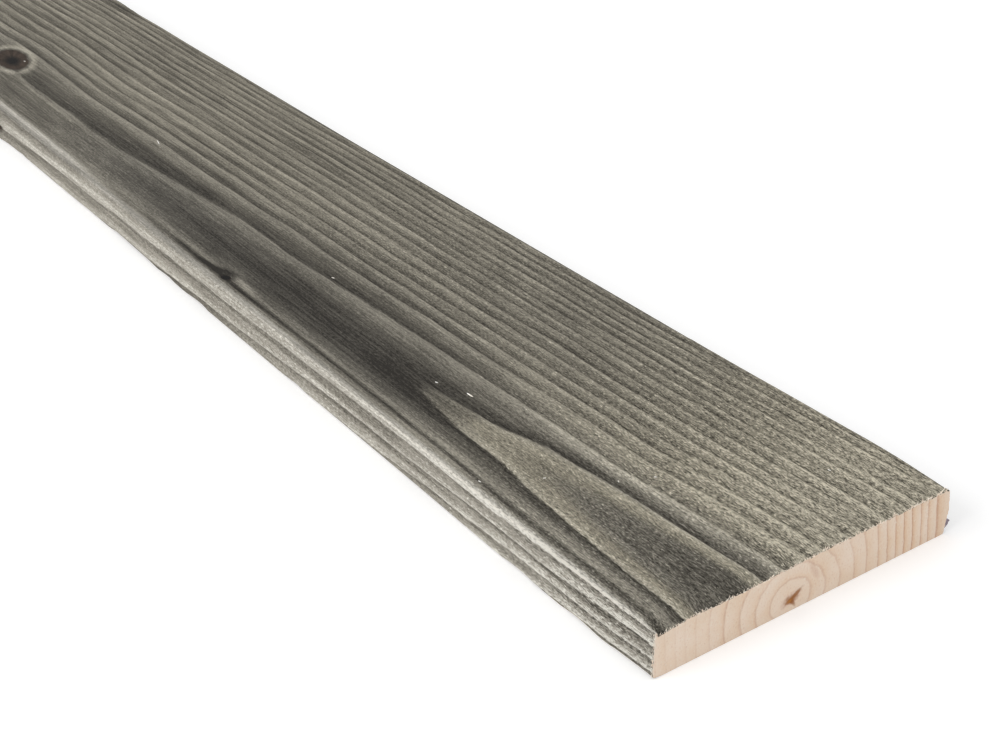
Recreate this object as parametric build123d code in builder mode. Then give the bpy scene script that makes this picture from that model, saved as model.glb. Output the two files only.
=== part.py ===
"""Rectangular cladding board: one length of weathered softwood, lying flat with its show face up."""

import os

from build123d import *

# Driving dimensions, in millimetres
BOARD_LENGTH = 1800.0
BOARD_WIDTH = 145.0
BOARD_THICKNESS = 21.0

# Long edges, worn softer on the show face than on the back
SHOW_EDGE_RADIUS = 1.5
BACK_EDGE_RADIUS = 1.0

# Swells where the branches of one whorl come out through the long edges, measured from the sawn end
NEAR_SWELL_FROM_END = 715.0
NEAR_SWELL_LENGTH = 130.0
NEAR_SWELL_HEIGHT = 4.5
FAR_SWELL_FROM_END = 770.0
FAR_SWELL_LENGTH = 90.0
FAR_SWELL_HEIGHT = 2.5

# Splinter that the saw tore loose, standing off the far long edge at the sawn end
SPLINTER_FROM_BACK = 1.6
SPLINTER_HEIGHT = 6.4
SPLINTER_STANDS_OFF = 1.7
SPLINTER_LENGTH = 14.0
SPLINTER_ROOT_DEPTH = 0.8

# The sawn end faces +X, the far long edge faces +Y, and the back lies at Z = 0
end_x = BOARD_LENGTH / 2
edge_y = BOARD_WIDTH / 2
near_swell_x = end_x - NEAR_SWELL_FROM_END
far_swell_x = end_x - FAR_SWELL_FROM_END


def swelling_edge(swell_x, swell_length, swell_height, side):
    """One long edge in plan, straight but for the swell; side is 1 for the far edge and -1 for the near."""
    start_x = swell_x - swell_length / 2
    stop_x = swell_x + swell_length / 2
    straight_y = side * edge_y
    Line((-end_x, straight_y), (start_x, straight_y))
    Spline(
        (start_x, straight_y),
        (swell_x, straight_y + side * swell_height),
        (stop_x, straight_y),
        tangents=((1, 0), (1, 0)),
    )
    Line((stop_x, straight_y), (end_x, straight_y))


with BuildPart() as board:
    with BuildSketch():
        with BuildLine():
            swelling_edge(near_swell_x, NEAR_SWELL_LENGTH, NEAR_SWELL_HEIGHT, -1)
            swelling_edge(far_swell_x, FAR_SWELL_LENGTH, FAR_SWELL_HEIGHT, 1)
            Line((-end_x, -edge_y), (-end_x, edge_y))
            Line((end_x, -edge_y), (end_x, edge_y))
        make_face()
    extrude(amount=BOARD_THICKNESS)

    # The long edges are eased and the two sawn ends stay sharp
    show_edges = board.faces().sort_by(Axis.Z)[-1].edges().filter_by(Axis.Y, reverse=True)
    fillet(show_edges, SHOW_EDGE_RADIUS)
    back_edges = board.faces().sort_by(Axis.Z)[0].edges().filter_by(Axis.Y, reverse=True)
    fillet(back_edges, BACK_EDGE_RADIUS)

    # The splinter is widest on the sawn end, is rooted in the edge and runs out to a point along it
    root_y = edge_y - SPLINTER_ROOT_DEPTH
    tip_z = SPLINTER_FROM_BACK + SPLINTER_HEIGHT / 2
    with BuildSketch(Plane.YZ.offset(end_x)) as splinter:
        with BuildLine():
            Polyline(
                (root_y, SPLINTER_FROM_BACK),
                (edge_y + SPLINTER_STANDS_OFF, tip_z),
                (root_y, SPLINTER_FROM_BACK + SPLINTER_HEIGHT),
                close=True,
            )
        make_face()
    loft([splinter.sketch.face(), Vertex(end_x - SPLINTER_LENGTH, root_y, tip_z)])

board.part.label = "board"

os.makedirs("parts", exist_ok=True)
export_step(board.part, "parts/board.step")
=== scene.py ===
"""The looks of a weathered softwood cladding board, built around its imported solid."""

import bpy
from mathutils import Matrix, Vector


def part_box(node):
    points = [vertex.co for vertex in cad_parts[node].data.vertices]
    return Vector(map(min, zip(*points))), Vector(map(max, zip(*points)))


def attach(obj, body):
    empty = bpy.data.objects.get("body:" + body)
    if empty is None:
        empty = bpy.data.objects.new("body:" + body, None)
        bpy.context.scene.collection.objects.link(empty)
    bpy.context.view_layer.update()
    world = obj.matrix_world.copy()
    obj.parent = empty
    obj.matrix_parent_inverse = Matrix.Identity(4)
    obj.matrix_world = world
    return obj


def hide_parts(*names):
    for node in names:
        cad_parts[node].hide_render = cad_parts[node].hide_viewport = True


bl_info = {
    "name": "Weathered cladding board",
    "version": (1, 0, 0),
    "blender": (4, 5, 0),
    "location": "View3D > Sidebar > Board",
    "description": "Dresses one length of weathered cladding and its studio",
    "category": "Object",
}

import math

import bpy
import numpy as np
from bpy.props import FloatProperty, FloatVectorProperty, IntProperty, PointerProperty
from mathutils import Vector

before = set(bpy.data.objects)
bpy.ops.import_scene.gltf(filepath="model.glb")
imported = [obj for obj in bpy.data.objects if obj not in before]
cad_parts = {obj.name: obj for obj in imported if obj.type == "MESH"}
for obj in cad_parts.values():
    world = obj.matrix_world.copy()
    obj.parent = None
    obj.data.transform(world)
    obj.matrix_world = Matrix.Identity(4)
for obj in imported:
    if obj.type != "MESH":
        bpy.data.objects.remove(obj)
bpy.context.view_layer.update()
BOARD_LOW, BOARD_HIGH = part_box("board")

MM = 0.001
END_X = BOARD_HIGH.x
THICKNESS = BOARD_HIGH.z
LENGTH = BOARD_HIGH.x - BOARD_LOW.x
END_MM = END_X / MM
TOP_MM = THICKNESS / MM
LENGTH_MM = LENGTH / MM

# Section and edge forms of the solid, in millimetres
WIDTH_MM = 145.0
HALF_WIDTH = WIDTH_MM / 2
SHOW_EDGE_RADIUS = 1.5
BACK_EDGE_RADIUS = 1.0
NEAR_SWELL = {"from_end": 715.0, "length": 130.0, "height": 4.5}
FAR_SWELL = {"from_end": 770.0, "length": 90.0, "height": 2.5}
SPLINTER_FROM_BACK = 1.6
SPLINTER_HEIGHT = 6.4
SPLINTER_STANDS_OFF = 1.7
SPLINTER_LENGTH = 14.0
SPLINTER_ROOT_DEPTH = 0.8

# The dressed splinter stands further off and starts behind the sawn end, in millimetres
SPLINTER_STANDS_FURTHER = 1.3
SPLINTER_FROM_END = 0.15

# Growth rings on the show face, from the heart line outwards, in millimetres
RING_WIDTHS = (17.7, 9.1, 10.7, 8.0, 6.9, 7.5, 6.9, 6.9, 6.8, 5.5, 6.0, 5.6, 5.6, 5.7, 4.6, 4.5, 4.5)
HEART_Y = -44.0
NEAR_LINE_Y = -67.4

# Knots: places and sizes in millimetres, turn, push on the grain, tone of the halo, and black heart
BIG_KNOT = {
    "from_end": 687.5, "y": -33.3, "z": 21.0, "size": (43.5, 20.4, 900.0), "turn": -0.17,
    "push": 9.0, "below": -0.5, "halo": 0.28, "heart": (-3.0, -0.6, 0.0), "heart_share": 0.62,
}
SMALL_KNOT = {
    "from_end": 320.0, "y": -66.7, "z": 21.0, "size": (6.8, 4.4, 900.0), "turn": 0.1,
    "push": 3.0, "below": 1.0, "halo": -0.08, "heart": (0.0, 0.0, 0.0), "heart_share": 1.6,
}
HIDDEN_KNOT = {
    "from_end": 1290.0, "y": 24.0, "z": 21.0, "size": (30.0, 17.0, 900.0), "turn": 0.1,
    "push": 4.0, "below": 1.0, "halo": 0.14, "heart": (2.0, 0.5, 0.0), "heart_share": 0.55,
}
NEAR_EDGE_KNOT = {
    "from_end": 631.0, "y": -74.5, "z": 8.5, "size": (60.0, 24.0, 9.0), "turn": 0.0,
    "halo": 0.05, "heart": (0.0, 0.0, 0.0), "heart_share": 0.7,
}
FAR_EDGE_KNOT = {
    "from_end": 770.0, "y": 74.5, "z": 12.0, "size": (26.0, 20.0, 14.0), "turn": 0.0,
    "halo": 0.05, "heart": (0.0, 0.0, 0.0), "heart_share": 0.7,
}
FACE_KNOTS = (BIG_KNOT, SMALL_KNOT, HIDDEN_KNOT)
EDGE_KNOTS = (NEAR_EDGE_KNOT, FAR_EDGE_KNOT)

# Shades on the show face, most beside knots: from the sawn end, across, half sizes, turn and tone added
FACE_SHADES = (
    (334.0, -65.4, (17.0, 2.5), 0.17, -0.34),
    (325.5, -64.1, (8.5, 3.2), 0.35, -0.30),
    (320.0, -66.2, (5.5, 2.6), 0.2, -0.3),
    (303.0, -68.0, (17.0, 1.2), 0.0, -0.17),
    (324.0, -58.6, (22.0, 2.6), 0.05, 0.14),
    (307.0, -63.4, (13.0, 2.4), -0.2, 0.16),
    (644.0, -34.2, (24.0, 4.4), -0.12, -0.13),
    (118.0, -34.2, (32.0, 1.8), 0.17, -0.10),
    (120.0, -27.2, (45.0, 4.5), 0.13, 0.07),
    (752.0, 70.5, (36.0, 4.5), 0.0, -0.24),
)

# What each zone of the show face adds to its lowest tone, its fuzz and its warmth
FACE_LOW = {
    "ground": 0.115, "outer": 0.15, "outer_end": 0.15, "outer_tip": 0.11,
    "tongue": 0.10, "tongue_core": 0.045, "tongue_end": 0.018, "tongue_point": -0.12,
    "hollow": -0.088, "hollow_side": -0.08, "heart": -0.02, "heart_far": 0.05,
    "near_band": 0.15, "end_band": 0.14, "round_knot": 0.10,
}
FACE_FUZZ = {
    "ground": 0.22, "end": 0.351, "outer_end": 0.429, "outer_brushed": 0.14, "outer_middle": 0.26,
    "tongue": 0.04, "tongue_middle": 0.11,
}
FACE_WARMTH = {
    "ground": 0.55, "outer": 0.175, "outer_end": 0.325, "tongue_ridge": 0.3, "tongue_core": 0.3,
    "hollow": -0.25,
}

# Lowest tone, range of tones, fuzz and warmth of the back, and warmth of the long edges
PLAIN_BACK = (0.42, 0.26, 0.3, 0.5)
EDGE_WARMTH = 0.1

# How strongly long streaks show on each side
STREAKS = {"face": 0.34, "edge": 0.62, "back": 0.34}

# Noise of the weathered grain: cells to the metre along, across and up, detail, roughness and place
GRAIN_NOISES = {
    "wander": ((16.0, 150.0, 150.0), 3.0),
    "ragged": ((260.0, 800.0, 800.0), 3.0, 0.65, (5.0, 2.0, 8.0)),
    "streak": ((9.0, 420.0, 420.0), 4.0, 0.62),
    "fibre": ((38.0, 1150.0, 1150.0), 3.0, 0.62, (1.0, 4.0, 6.0)),
    "fleck": ((520.0, 1900.0, 1900.0), 3.0, 0.68, (3.0, 1.0, 2.0)),
    "patch": ((6.0, 34.0, 34.0), 3.0),
    "spots": ((560.0, 1700.0, 1700.0), 1.0, 0.5, (9.0, 7.0, 4.0)),
}

# Height and tone over one ring, and strength of the halo round a knot, whose rim lies at 0.5.
# The ring's tone is darkest just past its sharp drop, a painted shadow of the drop, and palest
# near the crest, partly a painted highlight; the rest is the real earlywood and latewood colour.
RIDGE_AND_PAINTED_LIGHT_STOPS = ((0.0, 0.25), (0.04, 0.0), (0.22, 0.16), (0.55, 0.52), (0.86, 0.94), (0.96, 1.0), (1.0, 0.25))
HALO_STOPS = ((0.5, 0.0), (0.55, 0.3), (0.6, 1.0), (0.67, 0.75), (0.78, 0.0))

# Strength of the sawn end's lines and tan over one ring, and of both from the near edge to the far
LINE_STOPS = ((0.0, 0.8), (0.06, 0.7), (0.14, 0.12), (0.4, 0.0), (0.95, 0.0), (1.0, 0.8))
TAN_STOPS = ((0.0, 0.5), (0.08, 1.0), (0.45, 0.35), (0.8, 0.0), (1.0, 0.1))
ACROSS_STOPS = ((0.0, 0.14), (0.16, 0.18), (0.22, 0.55), (0.66, 0.4), (0.86, 1.0))

# Sawn end, in millimetres: pith, lean of the rings, ring radii from the pith outwards
PITH_Y = -8.1
PITH_Z = 5.3
END_LEAN = 0.12
END_RINGS = (10.0, 17.0, 24.5, 32.0, 38.6, 44.8, 49.5, 54.0, 58.5, 63.0, 67.8, 71.7, 76.5, 87.0)

# Stains round the pith: place across and up, half sizes, turn, strength and the colour's name
PITH_STAINS = (
    ((2.6, 13.5), (6.5, 1.6), 2.1, 0.30, "fresh_line"),
    ((-8.0, 5.6), (5.4, 3.0), 0.3, 0.45, "fresh_line"),
    ((-6.4, 6.4), (5.0, 1.2), 0.55, 0.85, "pith"),
    ((-8.2, 5.2), (3.4, 2.2), -0.2, 0.95, "pith"),
    ((-6.9, 3.6), (3.0, 0.9), -1.0, 0.75, "pith"),
    ((-8.6, 4.9), (1.5, 0.9), 0.4, 0.7, "pith_heart"),
)

# Pale splinters on the show face: from the sawn end, across, length, width in millimetres and turn
LOOSE_SPLINTERS = (
    (163.0, -34.3, 4.6, 0.8, 0.05),
    (180.0, -39.7, 1.7, 0.45, 0.3),
    (71.0, -11.8, 1.4, 0.4, 0.9),
    (77.0, -25.0, 1.5, 0.35, -0.4),
    (95.0, -46.7, 1.5, 0.4, 1.2),
    (107.0, -68.4, 1.6, 0.45, 0.2),
    (291.0, -25.0, 2.0, 0.5, 0.4),
    (498.0, -18.6, 7.5, 0.5, -0.26),
    (36.0, 46.0, 1.5, 0.5, 0.3),
    (679.0, -27.9, 1.8, 0.7, 0.3),
)
LOOSE_HEIGHT = 0.45
LOOSE_LIFT = 0.05

# The four colours of weathered wood and their places on the scale of tones; the ring tone falls
# towards the darkest as painted shade past each drop and rises towards the palest as a painted highlight at
# the crests
TONE_STEPS = ("black", "deep", "pale", "worn")
TONE_PLACES = (0.0, 0.3, 0.7, 1.0)

# Gaps between the mesh's rows at the sawn end, along the seen part and beyond it, in millimetres
ROW_GAP_END = 4.0
ROW_GAP = 7.5
ROW_GAP_FAR = 10.0

# Slack where vertices are picked by their place, in millimetres, and seeds of the random draws
SLACK = 0.01
WEAR_SEED = 7
FIBRE_SEED = 11

# How far in from a long edge its swell moves the mesh and the chips reach, in millimetres
SWELL_REACH = 25.0
CHIP_REACH = 1.5

# Studio, in metres: camera, soft lamp with its aim and size, and floor; the sensor is in millimetres
CAMERA_PLACE = (END_X + 0.3078, -0.3551, 0.3571)
KEY_PLACE = (END_X - 0.35, -1.9, 1.0)
KEY_TARGET = (END_X - 0.4, 0.0, 0.0)
KEY_SIZE = 1.6
FLOOR_PLACE = (END_X - 0.5, 0.0, 0.0)
FLOOR_GREY = (0.85, 0.85, 0.85, 1.0)
FLOOR_GLOW = 0.26
WHITE = (1.0, 1.0, 1.0, 1.0)
SENSOR_WIDTH = 36.0


def srgb(red, green, blue):
    """A display colour of 0 to 255 as the linear colour that shaders take."""
    def linear(value):
        value /= 255.0
        return value / 12.92 if value <= 0.04045 else ((value + 0.055) / 1.055) ** 2.4
    return (linear(red), linear(green), linear(blue), 1.0)


def colour_property(name, description, default):
    """A colour that a user can change."""
    return FloatVectorProperty(
        name=name, description=description, subtype="COLOR", size=4, min=0.0, max=1.0, default=default
    )


def length_property(name, description, default):
    """A length that a user can change, its default in millimetres."""
    return FloatProperty(name=name, description=description, default=default * MM, unit="LENGTH")


def count_property(name, description, default, least):
    """A number of cuts or copies that a user can change."""
    return IntProperty(name=name, description=description, default=default, min=least)


class BoardShape(bpy.types.PropertyGroup):
    """Sizes of the board's relief and mesh."""

    face_relief: length_property("Face relief", "Depth of the worn earlywood on the show face", 0.75)
    edge_relief: length_property("Edge relief", "Depth of the worn earlywood on the long edges", 0.5)
    back_relief: length_property("Back relief", "Depth of the relief on the back", 0.2)
    end_ragged: length_property("Ragged end", "Depth of the ragged border of the sawn end", 0.45)
    end_wear: length_property("Worn border", "Drop of the show face at the border of the sawn end", 1.45)
    chipped: length_property("Chipped arris", "Depth of the chips along the near lower arris", 0.55)
    top_fibres: count_property("Top fibres", "Torn fibres along the end's top", 330, 1)
    side_fibres: count_property("Side fibres", "Torn fibres up the end's side", 60, 1)
    rows: count_property("Rows", "Cuts along the length", 288, 10)
    face_columns: count_property("Face columns", "Cuts across the show face", 214, 10)
    edge_columns: count_property("Edge columns", "Cuts up each long edge", 24, 4)
    back_columns: count_property("Back columns", "Cuts across the back", 40, 4)


class BoardColours(bpy.types.PropertyGroup):
    """Colours of the weathered faces and the fresh cut."""

    # The darkest colour of each side stands partly for painted shade past each ring's drop, besides real
    # cracks and pits; the palest partly for a painted highlight at the crests, besides pale fibres
    face_black: colour_property("Face cracks", "Darkest hollows of the show face", srgb(38, 35, 31))
    face_deep: colour_property("Face hollows", "Earlywood hollows of the show face", srgb(91, 88, 82))
    face_pale: colour_property("Face ridges", "Latewood ridges of the show face", srgb(162, 158, 149))
    face_worn: colour_property("Face hairs", "Palest fibres of the show face", srgb(219, 214, 204))
    # The edge colours are paler than the face's, partly as painted light for the lamp that falls more fully
    # on the side
    edge_black: colour_property("Edge cracks", "Darkest hollows of the long edges", srgb(56, 53, 48))
    edge_deep: colour_property("Edge hollows", "Earlywood hollows of the long edges", srgb(106, 102, 93))
    edge_pale: colour_property("Edge ridges", "Latewood ridges of the long edges", srgb(166, 161, 151))
    edge_worn: colour_property("Edge hairs", "Palest fibres of the long edges", srgb(222, 219, 210))
    back_black: colour_property("Back cracks", "Darkest hollows of the back", srgb(70, 62, 52))
    back_deep: colour_property("Back hollows", "Earlywood hollows of the back", srgb(124, 114, 99))
    back_pale: colour_property("Back ridges", "Latewood ridges of the back", srgb(176, 165, 147))
    back_worn: colour_property("Back hairs", "Palest fibres of the back", srgb(214, 204, 188))
    warm_tint: colour_property("Warm tint", "Tint of the browner grain", (1.0, 0.965, 0.85, 1.0))
    knot_bark: colour_property("Knot", "Brown wood of the knots", srgb(50, 41, 34))
    knot_core: colour_property("Knot core", "Black heart of the knots", srgb(10, 8, 7))
    knot_worn: colour_property("Knot grain", "Paler grain of the knots", srgb(98, 82, 69))
    fresh_pale: colour_property("Fresh wood", "Pale earlywood of the sawn end", srgb(238, 219, 201))
    fresh_warm: colour_property("Fresh warm wood", "Warmer clouds of the sawn end", srgb(234, 212, 190))
    fresh_tan: colour_property("Fresh tan", "Warmer wood beside each ring line", srgb(229, 198, 166))
    fresh_line: colour_property("Ring line", "Latewood lines of the sawn end", srgb(196, 152, 128))
    pith: colour_property("Pith", "Brown pith of the sawn end", srgb(150, 96, 50))
    pith_heart: colour_property("Pith heart", "Orange heart of the pith", srgb(186, 124, 60))
    splinter_dark: colour_property("Splinter", "Dark grain of the edge splinter", srgb(104, 92, 104))
    splinter_pale: colour_property("Splinter grain", "Pale grain of the splinter", srgb(176, 164, 172))
    fibre: colour_property("Fibre", "Torn fibres of the sawn end", srgb(236, 229, 216))
    white_fibre: colour_property("White fibre", "Loose splinters on the face", srgb(246, 245, 242))


class StageSettings(bpy.types.PropertyGroup):
    """Camera, floor and light of the studio."""

    azimuth: FloatProperty(
        name="Azimuth", description="Turn of the camera round the board",
        default=math.radians(54.4735), subtype="ANGLE",
    )
    elevation: FloatProperty(
        name="Elevation", description="Height of the camera above the horizon",
        default=math.radians(29.8635), subtype="ANGLE",
    )
    lens: FloatProperty(name="Lens", description="Focal length", default=57.33, unit="CAMERA")
    floor_size: FloatProperty(name="Floor", description="Side of the floor", default=12.0, unit="LENGTH")
    sky: FloatProperty(name="Sky", description="Even light from all round", default=0.80)
    key: FloatProperty(name="Key light", description="Power of the soft lamp in front", default=26.0)


# Fields of the grain, worked out in millimetres from the sawn end

def ease(start, stop, value):
    """0 before start, 1 after stop and smooth between."""
    t = np.clip((value - start) / (stop - start), 0.0, 1.0)
    return t * t * (3.0 - 2.0 * t)


def fade(start, stop, value):
    """1 before start, 0 after stop and smooth between."""
    return 1.0 - ease(start, stop, value)


def bell(value, centre, spread):
    """1 at the centre, dying away smoothly on both sides."""
    return np.exp(-(((value - centre) / spread) ** 2))


def knot_push(u, y):
    """How far the grain is pushed aside by the knots, in millimetres across the board."""
    shift = np.zeros_like(u)
    for knot in FACE_KNOTS:
        off = y - knot["y"]
        length, width, _ = knot["size"]
        reach = length * 1.35
        side = off / (np.abs(off) + width * 0.35)
        nearness = np.exp(-np.abs(off) / (width * 1.9))
        side = np.where(side < 0.0, side * knot["below"], side)
        shift += knot["push"] * side * nearness * bell(u, knot["from_end"], reach)
    return shift


def grain_wander(u, y):
    """Slow wander of the grain lines along the board, in millimetres."""
    return (
        0.30 * np.sin(u / 61.0 + y * 0.021)
        + 0.25 * np.sin(u / 27.0 - y * 0.037 + 1.3)
        + 0.16 * np.sin(u / 11.5 + y * 0.06 + 4.0)
    )


def face_shift(u, y):
    """How far the rings of the show face lie off their even curves, in millimetres across the board."""
    shift = 2.6 * fade(46.0, 88.0, u) * bell(y, 2.0, 20.0)
    shift = shift + 2.8 * ease(30.0, 190.0, u) * ease(-36.0, -24.0, y) * (1.0 - 0.6 * ease(25.0, 60.0, y))
    shift = shift + 2.6 * ease(310.0, 390.0, u) * fade(560.0, 640.0, u) * bell(y, -31.0, 8.0)
    shift = shift + 2.0 * bell(u, 120.0, 22.0) * bell(y, -54.0, 4.5)
    return shift - 4.2 * bell(u, 144.0, 24.0) * bell(y, -38.0, 6.0)


def face_rings(u, y):
    """Ring count on the show face: whole numbers are the sharp outer edges of the rings."""
    y = y - face_shift(u, y) - knot_push(u, y) - grain_wander(u, y)
    heart = HEART_Y + 3.0 * fade(0.0, 130.0, u) - 2.0 * ease(100.0, 190.0, u)
    off = y - heart
    near_side = 1.0 - 0.62 * ease(150.0, 450.0, u)
    off = np.where(off < 0.0, off * near_side, off)
    rise = 1.1 + 0.55 * bell(off, 48.0, 32.0)
    turn = 620.0 - 0.34 * np.maximum(u - 860.0, 0.0)
    along = np.minimum(u, turn)
    flat = np.minimum(along, 500.0 + 0.08 * (along - 500.0))
    close = bell(off, 0.0, 20.0)
    along = along * (1.0 - close) + flat * close
    reach = off**2 + rise * along + 0.55 * np.minimum(along, 183.0) * bell(off, 0.0, 22.0)
    radius = np.sqrt(np.maximum(reach, 0.0))
    edges = np.cumsum(RING_WIDTHS)
    rings = np.interp(radius, np.concatenate(([0.0], edges)), np.arange(len(edges) + 1.0))
    heart_ring = np.clip(rings, 0.0, 1.0)
    rings = rings - heart_ring + heart_ring**2.5
    second = np.clip(rings - 1.0, 0.0, 1.0)
    rings = rings - 0.34 * second * (rings < 2.0) * ease(540.0, 640.0, u)
    cap = 1.9 - 0.38 * ease(430.0, 610.0, u)
    near_cap = cap - 0.22 * np.log1p(np.exp((cap - rings) / 0.22))
    return np.where((off < 0.0) & (rings > 1.2), near_cap, rings)


def pace(rings, first, second):
    """Rings to the millimetre, measured across the grain."""
    return np.abs(rings(first, second + 0.5) - rings(first, second - 0.5))


def face_zones(u, y, rings):
    """Where each zone of the show face lies, from 0 outside it to 1 inside."""
    pale_end = fade(110.0, 260.0, u) * ease(-40.0, -32.0, y)
    outer = ease(1.6 - 0.5 * pale_end, 5.5 - 2.7 * pale_end, rings)
    end = fade(30.0, 200.0, u)
    tongue = fade(0.9, 1.05, rings)
    return {
        "ground": np.ones_like(u),
        "end": end,
        "outer": outer,
        "outer_end": outer * end,
        "outer_tip": outer * fade(25.0, 95.0, u),
        "outer_brushed": outer * fade(20.0, 100.0, u),
        "outer_middle": outer * bell(u, 260.0, 120.0),
        "tongue": tongue,
        "tongue_ridge": tongue * ease(0.2, 0.8, rings),
        "tongue_core": tongue * ease(0.30, 0.50, rings) * fade(0.70, 0.80, rings),
        "tongue_end": tongue * fade(60.0, 100.0, u),
        "tongue_middle": tongue * bell(u, 110.0, 40.0),
        "tongue_point": tongue * ease(138.0, 152.0, u),
        "hollow": bell(y, -50.0, 15.0) * ease(120.0, 190.0, u) * fade(400.0, 640.0, u),
        "hollow_side": bell(y, -38.0, 6.0) * bell(u, 300.0, 55.0),
        "heart": (1.0 - outer) * ease(250.0, 300.0, u),
        "heart_far": (1.0 - outer) * ease(420.0, 560.0, u),
        "near_band": bell(y, -64.0, 3.6) * fade(400.0, 540.0, u),
        "end_band": bell(y, -19.0, 9.0) * fade(110.0, 230.0, u),
        "round_knot": bell(u, BIG_KNOT["from_end"], 55.0) * bell(y, BIG_KNOT["y"], 19.0),
    }


def face_tone(u, y, rings):
    """Lowest tone, range of tones, fuzz and warmth of the show face."""
    zones = face_zones(u, y, rings)
    low, fuzz, warmth = (
        sum(added * zones[name] for name, added in table.items())
        for table in (FACE_LOW, FACE_FUZZ, FACE_WARMTH)
    )
    uneven = 0.5 + 0.5 * np.sin(np.floor(rings) * 2.4 + 0.7)
    span = 0.44 + 0.04 * zones["end"] + zones["outer"] * (0.08 * uneven - 0.14)
    span = span * (1.0 - 0.6 * zones["round_knot"]) * (1.0 - 0.45 * zones["hollow"])

    # The strip beside the near edge is bleached and has tones of its own
    bleached = fade(-1.4, 0.6, y - NEAR_LINE_Y + 3.2 - 1.6 * ease(150.0, 420.0, u))
    strip_low = 0.44 + 0.15 * fade(40.0, 180.0, u) - 0.06 * ease(420.0, 500.0, u)
    low = low + (strip_low - low) * bleached
    span = span + (0.22 - span) * bleached

    # The line along the strip is dark towards the sawn end and pale further along
    at_end = fade(80.0, 140.0, u)
    near_line = fade(340.0, 430.0, u) * bell(y, NEAR_LINE_Y + 0.1 - 1.2 * at_end, 1.3 + 0.6 * at_end)
    far_line = ease(435.0, 525.0, u) * bell(y, NEAR_LINE_Y - 0.9, 2.0)
    low = low + 0.40 * far_line - 0.35 * near_line
    warmth = warmth * (1.0 - bleached) * (1.0 - far_line)
    return low, span, fuzz, warmth


def edge_tone(u, z):
    """Lowest tone, range of tones, fuzz and warmth of a long edge, paler than the face: partly greyer wood,
    partly painted light standing for the lamp that falls more fully on the side than on the face.
    """
    end = fade(20.0, 110.0, u)
    low = 0.38 - 0.11 * end - 0.02 * ease(110.0, 160.0, u) - 0.05 * ease(350.0, 650.0, u)
    # The upper side is paler; the 0.12 lift on the rounded top arris near the sawn end is a painted
    # highlight
    low = low + 0.09 * ease(12.0, 19.0, z) + 0.12 * ease(19.2, 20.6, z) * fade(150.0, 250.0, u)
    low = low - 0.07 * ease(12.0, 16.0, z) * ease(150.0, 230.0, u)
    low = low - 0.15 * ease(13.0, 18.0, z) * ease(330.0, 520.0, u)
    low = low + 0.06 * fade(11.0, 14.0, z) * bell(u, 225.0, 70.0)
    span = 0.42 + 0.25 * end
    fuzz = 0.42 + 0.45 * end + 0.08 * bell(u, 260.0, 120.0)
    return low, span, fuzz, EDGE_WARMTH


def edge_rings(u, z):
    """Ring count on a long edge, whose lines climb towards the sawn end under one wide top ring."""
    z = z - 0.2 * np.sin(u / 43.0) - 0.1 * np.sin(u / 17.0 + z * 0.3)
    line = 18.6 - 0.0105 * u - 0.0000135 * np.minimum(u, 700.0) ** 2 + 0.02 * np.maximum(u - 700.0, 0.0)
    line = line + 1.8 * fade(0.0, 75.0, u) + 1.2 * bell(u, 195.0, 35.0)
    width = 6.0 + 2.0 * ease(90.0, 220.0, u) + 2.5 * ease(200.0, 380.0, u)
    below = (line - z) / width
    return 40.0 + np.where(below < 0.0, below / 2.2, below)


def back_rings(u, y):
    """Ring count on the back, with the heart further down and the lines straighter."""
    y = y - 1.5 * grain_wander(u, y) - 2.5 * np.sin(u / 210.0)
    return np.sqrt((y + 12.0) ** 2 + 260.0 + 0.25 * u) / 6.4


def ring_profile(rings):
    """Height of a worn ring: low after its inner edge, rising to a ridge, then a quick drop."""
    t = rings - np.floor(rings)
    crest = 0.84
    return np.where(t < crest, (t / crest) ** 1.25, fade(crest, 1.0, t))


def row_places(count):
    """Where the rows lie, from the sawn end: closer at the end and round the knots."""
    fine = np.linspace(0.0, LENGTH_MM, 4001)
    density = 1.0 / ROW_GAP - (1.0 / ROW_GAP - 1.0 / ROW_GAP_FAR) * ease(800.0, 900.0, fine)
    density = density + (1.0 / ROW_GAP_END - 1.0 / ROW_GAP) * fade(120.0, 220.0, fine)
    density = density + 0.9 * fade(2.5, 5.0, fine)
    for knot in FACE_KNOTS:
        density = density + 0.16 * bell(fine, knot["from_end"], 16.0 + knot["size"][0] * 0.6)
    total = np.concatenate(([0.0], np.cumsum((density[1:] + density[:-1]) / 2)))
    return np.interp(np.linspace(0.0, total[-1], count), total, fine)


def border_share(y):
    """How far the end's top border is worn down, most at the near corner."""
    return 0.2 + 0.75 * fade(-34.0, 14.0, y) + 1.3 * fade(-74.0, -56.0, y)


def swell_height(u, swell):
    """Height of a smooth swell of a long edge, 0 outside it."""
    t = np.clip(np.abs(u - swell["from_end"]) / (swell["length"] / 2), 0.0, 1.0)
    return swell["height"] * (1.0 - t * t) ** 2


def near_crook(u):
    """How far the near edge wanders outwards, in millimetres."""
    end_part = 0.9 * ease(0.0, 25.0, u) * fade(390.0, 450.0, u)
    return end_part + 2.2 * ease(590.0, 625.0, u) * fade(650.0, 720.0, u)


def far_crook(u):
    """How far the far edge wanders outwards, in millimetres."""
    bend = 1.3 * bell(u, 75.0, 65.0) - 0.5 * bell(u, 115.0, 35.0) + 1.2 * bell(u, 28.0, 26.0)
    middle = 1.2 * ease(420.0, 640.0, u) * fade(820.0, 1100.0, u) + 0.8 * bell(u, 710.0, 50.0)
    return bend + middle + 0.6 * fade(900.0, 1200.0, u)


# Mesh helpers

def start_clean():
    """Leaves edit mode and selects nothing."""
    if bpy.context.object and bpy.context.object.mode != "OBJECT":
        bpy.ops.object.mode_set(mode="OBJECT")
    bpy.ops.object.select_all(action="DESELECT")


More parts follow.
